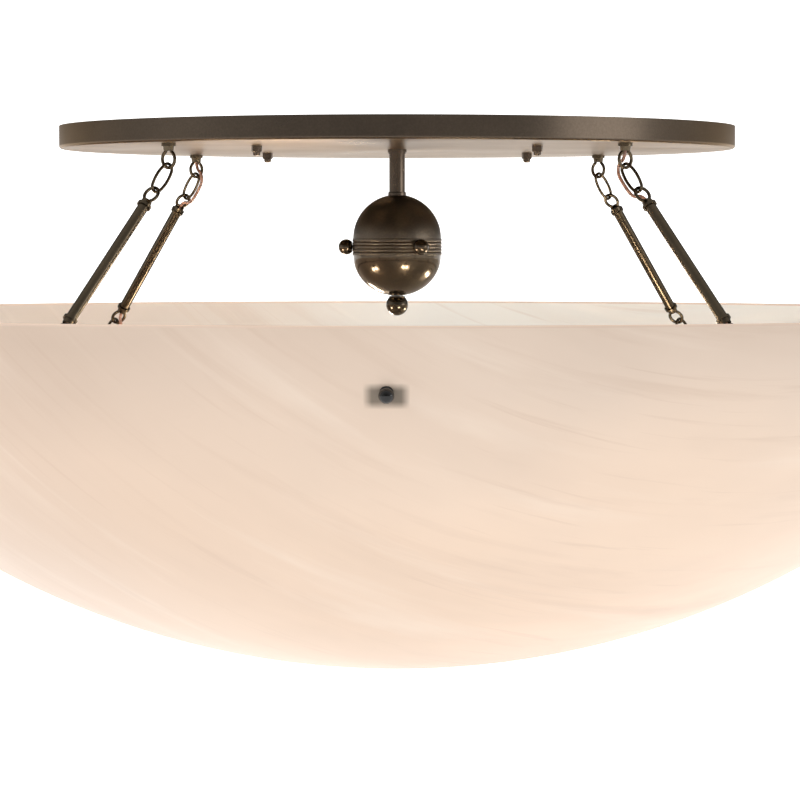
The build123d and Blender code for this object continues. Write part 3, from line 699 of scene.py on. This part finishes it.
class BOWLLIGHT_OT_pan(bpy.types.Operator):
    """Turn the ceiling pan from one line, and round its lower edge"""

    bl_idname = "bowl_light.pan"
    bl_label = "Ceiling pan"

    def execute(self, context):
        mesh = bmesh.new()
        beside = PAN_BEND + 0.6 * MM  # lines that keep the flat faces flat beside the bend
        run_of_edges(
            mesh,
            (
                (PIPE_HOLE, -PAN_DEPTH),
                (PAN_RADIUS / 2, -PAN_DEPTH),
                (PAN_RADIUS - beside, -PAN_DEPTH),
                (PAN_RADIUS, -PAN_DEPTH),
                (PAN_RADIUS, -PAN_DEPTH + beside),
                (PAN_RADIUS, 0),
            ),
        )
        turn_round(mesh, context.scene.bowl_light_sizes.round_steps)
        bevel_rings(mesh, [(PAN_RADIUS, -PAN_DEPTH)], PAN_BEND, 6)
        bmesh.ops.solidify(mesh, geom=list(mesh.faces), thickness=PAN_SHEET)
        pan = piece_from(mesh, "pan_skin")
        finish_piece(
            pan, "ceiling", ["ceiling_pan"], bpy.data.materials["pan_bronze"]
        )
        return {"FINISHED"}


# ------------------------------------------------------------------ ball
BALL_RADIUS = 53.2 * MM
BALL_TOP = -82.3 * MM
BALL_FOOT = 11 * MM
BAND_HEIGHT = 20 * MM
BAND_PROUD = 0.8 * MM
BAND_RIBS = 5
RIB_GROOVE = 0.9 * MM
LOWER_DOME = 49 * MM
BAND_TOP = BALL_TOP - sqrt(BALL_RADIUS**2 - BALL_FOOT**2)
BAND_LOW = BAND_TOP - BAND_HEIGHT


def half_ball(height, seat, upwards):
    """One dome of the ball: half a sphere, stretched to its height and closed where it is cut."""
    mesh = bmesh.new()
    bmesh.ops.create_uvsphere(mesh, u_segments=128, v_segments=64, radius=BALL_RADIUS)
    bmesh.ops.scale(mesh, verts=mesh.verts, vec=(1, 1, height / BALL_RADIUS))
    bmesh.ops.translate(mesh, verts=mesh.verts, vec=(0, 0, seat))
    cuts = [((0, 0, seat), (0, 0, -1 if upwards else 1))]
    if upwards:
        cuts.append(((0, 0, BALL_TOP), (0, 0, 1)))
    for place, normal in cuts:
        cut = bmesh.ops.bisect_plane(
            mesh,
            geom=list(mesh.verts) + list(mesh.edges) + list(mesh.faces),
            plane_co=place,
            plane_no=normal,
            clear_outer=True,
        )
        rim = [item for item in cut["geom_cut"] if isinstance(item, bmesh.types.BMEdge)]
        bmesh.ops.edgeloop_fill(mesh, edges=rim)
    bmesh.ops.recalc_face_normals(mesh, faces=mesh.faces)
    return mesh


class BOWLLIGHT_OT_ball(bpy.types.Operator):
    """Cut the two domes of the ball from spheres and turn its reeded band"""

    bl_idname = "bowl_light.ball"
    bl_label = "Ball"

    def execute(self, context):
        spun = bpy.data.materials["spun_bronze"]
        satin = bpy.data.materials["bronze_satin"]
        upper = piece_from(half_ball(BALL_RADIUS, BAND_TOP, True), "ball_upper_dome")
        finish_piece(upper, "ceiling", ["ball_upper_shell"], spun)
        lower = piece_from(half_ball(LOWER_DOME, BAND_LOW, False), "ball_lower_dome")
        finish_piece(lower, "ceiling", ["ball_lower_shell"], satin)

        mesh = bmesh.new()
        outside = BALL_RADIUS + BAND_PROUD
        grooves = [BAND_LOW + number * BAND_HEIGHT / BAND_RIBS for number in range(1, BAND_RIBS)]
        line = [(BALL_RADIUS - 2 * MM, BAND_LOW), (outside, BAND_LOW)]
        for z in grooves:
            line += [(outside, z - RIB_GROOVE), (outside - RIB_GROOVE, z), (outside, z + RIB_GROOVE)]
        line += [(outside, BAND_TOP), (BALL_RADIUS - 2 * MM, BAND_TOP)]
        run_of_edges(mesh, line)
        turn_round(mesh, 128)
        rounded = [(outside, z + side) for z in grooves for side in (-RIB_GROOVE, RIB_GROOVE)]
        bevel_rings(mesh, rounded + [(outside, BAND_LOW), (outside, BAND_TOP)], 0.35 * MM, 2)
        band = piece_from(mesh, "ball_reeded_band", 50)
        finish_piece(band, "ceiling", ["ball_band"], spun)
        return {"FINISHED"}


# ------------------------------------------------------------------ cords
LOOP_CIRCLE = 365 * MM
LOOP_LOW_Z = -54.85 * MM
LOOP_REACH = 27.85 * MM
ROD_LOOP_TOP = 30.3 * MM
ROD_TOP = 58.15 * MM
ROD_LOW = 220.62 * MM
ROD_LOOP_LOW = 248.47 * MM
HOOP_TOP = -289.8 * MM
CORD_HOLE_X = 528.8 * MM
LEG_AXIS = Vector((0.64886, 0, -0.76092))  # down along a leg
OUT_AXIS = Vector((0.76092, 0, 0.64886))


def leg_point(along, out=0.0):
    """A point beside the leg that lies over the X axis."""
    return Vector((LOOP_CIRCLE, 0, LOOP_LOW_Z)) + LEG_AXIS * along + OUT_AXIS * out


UPPER_CORD = (
    leg_point(0) + Vector((0, 0, LOOP_REACH - 2.8 * MM)),
    leg_point(0) + Vector((0, 0, 11.2 * MM)),
    leg_point(-9.8 * MM, -4.6 * MM),
    leg_point(-2.0 * MM, -12.6 * MM),
    leg_point(9.5 * MM, -13.8 * MM),
    leg_point(22.0 * MM, -13.8 * MM),
    leg_point(ROD_LOOP_TOP + 3.4 * MM, -12.2 * MM),
    leg_point(ROD_LOOP_TOP + 11.0 * MM),
    leg_point(ROD_TOP - 3.6 * MM),
)
LOWER_CORD = (
    leg_point(ROD_LOW + 3.2 * MM),
    leg_point(ROD_LOW + 15.9 * MM),
    leg_point(ROD_LOOP_LOW - 3.6 * MM, -12.9 * MM),
    leg_point(ROD_LOOP_LOW + 8.3 * MM, -15.4 * MM),
    Vector((CORD_HOLE_X - 7.6 * MM, 0, HOOP_TOP + 17.5 * MM)),
    Vector((CORD_HOLE_X, 0, HOOP_TOP + 7.5 * MM)),
    Vector((CORD_HOLE_X, 0, HOOP_TOP - 5.0 * MM)),
)


def cord_mesh(points, turn, radius):
    """A tube along the smooth line of a cord's points, turned with its leg about Z."""
    curve = bpy.data.curves.new("cord_line", "CURVE")
    curve.dimensions = "3D"
    spline = curve.splines.new("NURBS")
    spline.points.add(len(points) - 1)
    for knot, place in zip(spline.points, points):
        knot.co = (*place, 1)
    spline.order_u = 3
    spline.use_endpoint_u = True
    curve.resolution_u = 10
    curve.bevel_depth = radius
    curve.bevel_resolution = 4
    curve.use_fill_caps = True
    holder = bpy.data.objects.new("cord_line", curve)
    bpy.context.scene.collection.objects.link(holder)
    data = bpy.data.meshes.new_from_object(holder.evaluated_get(bpy.context.evaluated_depsgraph_get()))
    mesh = bmesh.new()
    mesh.from_mesh(data)
    bmesh.ops.rotate(mesh, verts=mesh.verts, cent=(0, 0, 0), matrix=Matrix.Rotation(turn, 3, "Z"))
    bmesh.ops.remove_doubles(mesh, verts=mesh.verts, dist=1e-6)
    bmesh.ops.recalc_face_normals(mesh, faces=mesh.faces)
    bpy.data.meshes.remove(data)
    bpy.data.objects.remove(holder)
    bpy.data.curves.remove(curve)
    return mesh


class BOWLLIGHT_OT_cords(bpy.types.Operator):
    """Lay the lamp cord past the links of two legs"""

    bl_idname = "bowl_light.cords"
    bl_label = "Lamp cords"

    def execute(self, context):
        radius = context.scene.bowl_light_sizes.cord_radius
        jacket = bpy.data.materials["cord_jacket"]
        for leg in CORD_LEGS:
            turn = radians(LEG_ANGLES[leg])
            spread = Matrix.Rotation(turn, 3, "Z")
            node_name = f"{leg}_upper_cord"
            # the cord is made whole twice and cut across the leg: one half by the ceiling loop, the other by
            # the rod's loop
            halves = (
                ("top", 1, "ceiling", f"{leg}_upper_link", leg_point(-8 * MM), leg_point(4 * MM)),
                ("low", -1, f"{leg}_upper_link", f"{leg}_rod", leg_point(26 * MM), leg_point(38 * MM)),
            )
            for part, side, before, after, start, end in halves:
                mesh = cord_mesh(UPPER_CORD, turn, radius)
                cut = bmesh.ops.bisect_plane(
                    mesh,
                    geom=list(mesh.verts) + list(mesh.edges) + list(mesh.faces),
                    plane_co=spread @ leg_point(15 * MM),
                    plane_no=spread @ LEG_AXIS * side,
                    clear_outer=True,
                )
                rim = [item for item in cut["geom_cut"] if isinstance(item, bmesh.types.BMEdge)]
                bmesh.ops.edgeloop_fill(mesh, edges=rim)
                cord = piece_from(mesh, f"{node_name}_{part}", 60)
                cord.data.materials.append(jacket)
                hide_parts(node_name)
                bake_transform(cord)
            node_name = f"{leg}_lower_cord"
            cord = piece_from(cord_mesh(LOWER_CORD, turn, radius), f"{node_name}_jacket", 60)
            cord.data.materials.append(jacket)
            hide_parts(node_name)
            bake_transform(cord)
            paint_node(f"{leg}_rod_cord", jacket)
        return {"FINISHED"}


# ------------------------------------------------------------------ finishes of the CAD nodes
def spun_group():
    """Fine rings round Z, as a lathe leaves them."""
    tree, given, put = group_tree(
        "Spun Rings",
        (
            ("Rings", "NodeSocketFloat", 1500.0),
            ("Low", "NodeSocketFloat", 0.2),
            ("High", "NodeSocketFloat", 0.3),
        ),
        (("Height", "NodeSocketFloat"), ("Roughness", "NodeSocketFloat")),
    )
    place = node(tree, "ShaderNodeSeparateXYZ", {0: node(tree, "ShaderNodeTexCoord").outputs["Object"]})
    out = node(
        tree, "ShaderNodeCombineXYZ", {0: place.outputs["X"], 1: place.outputs["Y"], 2: 0.0}
    ).outputs[0]
    reach = node(tree, "ShaderNodeVectorMath", {0: out}, operation="LENGTH").outputs["Value"]
    along = node(
        tree, "ShaderNodeMath", {0: reach, 1: place.outputs["Z"]}, operation="ADD"
    ).outputs[0]
    rings = node(
        tree,
        "ShaderNodeTexNoise",
        {"W": along, "Scale": given.outputs["Rings"], "Detail": 3.0},
        noise_dimensions="1D",
    ).outputs["Fac"]
    rough = node(
        tree,
        "ShaderNodeMapRange",
        {
            "Value": rings,
            "From Min": 0.35,
            "From Max": 0.65,
            "To Min": given.outputs["Low"],
            "To Max": given.outputs["High"],
        },
    ).outputs["Result"]
    tree.links.new(rings, put.inputs["Height"])
    tree.links.new(rough, put.inputs["Roughness"])


def spun_material(name, base, warm, low, high):
    """Bronze with lathe rings over its patina."""
    made = bronze_material(name, base, warm, warmth=0.5, scale=22.0, metallic=1.0)
    tree = made.node_tree
    shader = tree.nodes["Principled BSDF"]
    rings = place_group(tree, "Spun Rings", {"Low": low, "High": high})
    tree.links.new(rings.outputs["Roughness"], shader.inputs["Roughness"])
    groove = node(
        tree, "ShaderNodeBump", {"Height": rings.outputs["Height"], "Strength": 0.01, "Distance": 0.0002}
    )
    tree.links.new(groove.outputs["Normal"], shader.inputs["Normal"])
    return made


LAMP_STRENGTH = 45.0
LAMP_ON_WALLS = (0.40, 0.36, 0.30, 1)  # share of it that lights what is not polished


def lamp_material():
    """A lit globe: palest where it faces the eye."""
    made, tree, shader = new_material("lamp_glass")
    facing = node(tree, "ShaderNodeLayerWeight", {"Blend": 0.35}).outputs["Facing"]
    lit = ramp(tree, facing, ((0.0, (1.0, 0.90, 0.76)), (1.0, (1.0, 0.82, 0.62))))
    # the photo's exposure holds the lamps' light in the bowl far below the lamps themselves
    spread = node(tree, "ShaderNodeLightPath").outputs["Is Diffuse Ray"]
    lit = mixed(tree, spread, lit, LAMP_ON_WALLS)
    tree.links.new(lit, shader.inputs["Emission Color"])
    shader.inputs["Emission Strength"].default_value = LAMP_STRENGTH
    made.cycles.emission_sampling = "NONE"  # each ray then finds the strength meant for its kind
    shader.inputs["Base Color"].default_value = (0.9, 0.88, 0.84, 1)
    shader.inputs["Roughness"].default_value = 0.25
    return made


def cap_material():
    """Nickel with the rolled thread of a lamp cap."""
    nickel, worn = (0.60, 0.57, 0.50), (0.66, 0.58, 0.44)
    made = bronze_material("lamp_cap_nickel", nickel, worn, 0.5, 30.0, (0.2, 0.35), 1.0)
    tree = made.node_tree
    place = node(tree, "ShaderNodeTexCoord").outputs["Object"]
    thread = node(
        tree, "ShaderNodeTexWave", {"Vector": place, "Scale": 90.0, "Distortion": 0.0}, bands_direction="Z"
    ).outputs["Fac"]
    rolled = node(tree, "ShaderNodeBump", {"Height": thread, "Strength": 0.8, "Distance": 0.001})
    tree.links.new(rolled.outputs["Normal"], tree.nodes["Principled BSDF"].inputs["Normal"])
    return made


def cord_material():
    """Clear jacket over copper strands."""
    made, tree, shader = new_material("cord_jacket")
    place = node(tree, "ShaderNodeTexCoord").outputs["Object"]
    strands = node(
        tree, "ShaderNodeTexNoise", {"Vector": place, "Scale": 260.0, "Detail": 2.0}
    ).outputs["Fac"]
    tone = ramp(tree, strands, ((0.35, (0.30, 0.12, 0.07)), (0.65, (0.62, 0.34, 0.24))))
    tree.links.new(tone, shader.inputs["Base Color"])
    shader.inputs["Roughness"].default_value = 0.32
    shader.inputs["Coat Weight"].default_value = 0.8
    shader.inputs["Coat Roughness"].default_value = 0.12
    return made


# finish of each material slot that a CAD node keeps
SLOT_FINISH = {
    "dark_bronze_pan": "pan_bronze",
    "dark_bronze": "bronze_dark",
    "satin_bronze": "bronze_satin",
    "bronze_steel": "bronze_dark",
    "black_knob": "knob_black",
    "gasket_rubber": "black_rubber",
    "lampholder": "lampholder_white",
    "lamp_cap": "lamp_cap_nickel",
    "lamp_globe": "lamp_glass",
    "lamp_cord": "cord_jacket",
    "zinc_steel": "zinc_plate",
}
SHAPED_AGAIN = ("ceiling_pan", "bowl", "ball_upper_shell", "ball_lower_shell", "ball_band")


class BOWLLIGHT_OT_finishes(bpy.types.Operator):
    """Make the finishes of metal, rubber, glass and cord"""

    bl_idname = "bowl_light.finishes"
    bl_label = "Finishes"

    def execute(self, context):
        colours = context.scene.bowl_light_colours
        dark, warm, satin = colours.bronze, colours.bronze_warm, colours.satin
        patina_group()
        spun_group()
        bronze_material("bronze_dark", dark, warm, 0.5, 30.0, (0.22, 0.32), 1.0)
        pan = bronze_material("pan_bronze", colours.pan, warm, 0.35, 5.0, (0.26, 0.36), 1.0, 0.02)
        shader = pan.node_tree.nodes["Principled BSDF"]
        shader.inputs["Specular Tint"].default_value = (0.95, 0.80, 0.65, 1)
        spun_material("spun_bronze", colours.dome, colours.satin_warm, 0.34, 0.44)
        spun_material("bronze_satin", satin, colours.satin_warm, 0.12, 0.18)
        bronze_material("leg_bronze", colours.leg, colours.leg_warm, 0.45, 26.0, (0.2, 0.3), 1.0)
        # name, colour, colour of its patches, their strength and scale, roughness, metallic, bump
        for finish in (
            ("knob_black", (0.003, 0.0027, 0.0024), (0.006, 0.005, 0.004), 0.5, 60.0, (0.12, 0.2), 0.0, 0.03),
            ("black_rubber", (0.02, 0.02, 0.02), (0.04, 0.038, 0.035), 0.8, 90.0, (0.6, 0.8), 0.0, 0.1),
            ("lampholder_white", (0.74, 0.71, 0.65), (0.66, 0.61, 0.53), 0.6, 25.0, (0.3, 0.45), 0.0, 0.03),
            ("zinc_plate", (0.56, 0.56, 0.57), (0.46, 0.45, 0.42), 0.7, 45.0, (0.25, 0.5), 1.0, 0.05),
        ):
            bronze_material(*finish)
        lamp_material()
        cap_material()
        cord_material()
        return {"FINISHED"}


class BOWLLIGHT_OT_fittings(bpy.types.Operator):
    """Give the CAD's fittings smooth copies in their finishes"""

    bl_idname = "bowl_light.fittings"
    bl_label = "Fittings"

    def execute(self, context):
        for name in frame["nodes"]:
            if name in SHAPED_AGAIN or name.endswith("_cord"):
                continue
            finish = SLOT_FINISH[SLOTS[name]]
            if name == "ball_finial" or "ball_knob" in name:
                finish = "bronze_satin"
            if "rod" in name or "link" in name or name == "ceiling_loops":
                finish = "leg_bronze"
            smooth_copy(name, bpy.data.materials[finish])
        return {"FINISHED"}


class BOWLLIGHT_PT_panel(bpy.types.Panel):
    """Lists the light's operators."""

    bl_idname = "BOWLLIGHT_PT_panel"
    bl_label = "Bowl Light"
    bl_space_type = "VIEW_3D"
    bl_region_type = "UI"
    bl_category = "Bowl Light"

    def draw(self, context):
        for operator in OPERATORS:
            self.layout.operator(operator.bl_idname)


OPERATORS = (
    BOWLLIGHT_OT_stage,
    BOWLLIGHT_OT_finishes,
    BOWLLIGHT_OT_fittings,
    BOWLLIGHT_OT_pan,
    BOWLLIGHT_OT_ball,
    BOWLLIGHT_OT_bowl,
    BOWLLIGHT_OT_cords,
)
CLASSES = (BowlLightColours, BowlLightSizes, *OPERATORS, BOWLLIGHT_PT_panel)


def register():
    for item in CLASSES:
        bpy.utils.register_class(item)
    bpy.types.Scene.bowl_light_colours = bpy.props.PointerProperty(type=BowlLightColours)
    bpy.types.Scene.bowl_light_sizes = bpy.props.PointerProperty(type=BowlLightSizes)


def unregister():
    del bpy.types.Scene.bowl_light_sizes
    del bpy.types.Scene.bowl_light_colours
    for item in reversed(CLASSES):
        bpy.utils.unregister_class(item)


def main():
    register()
    for operator in OPERATORS:
        getattr(bpy.ops.bowl_light, operator.bl_idname.split(".")[1])()


if __name__ == "__main__":
    main()
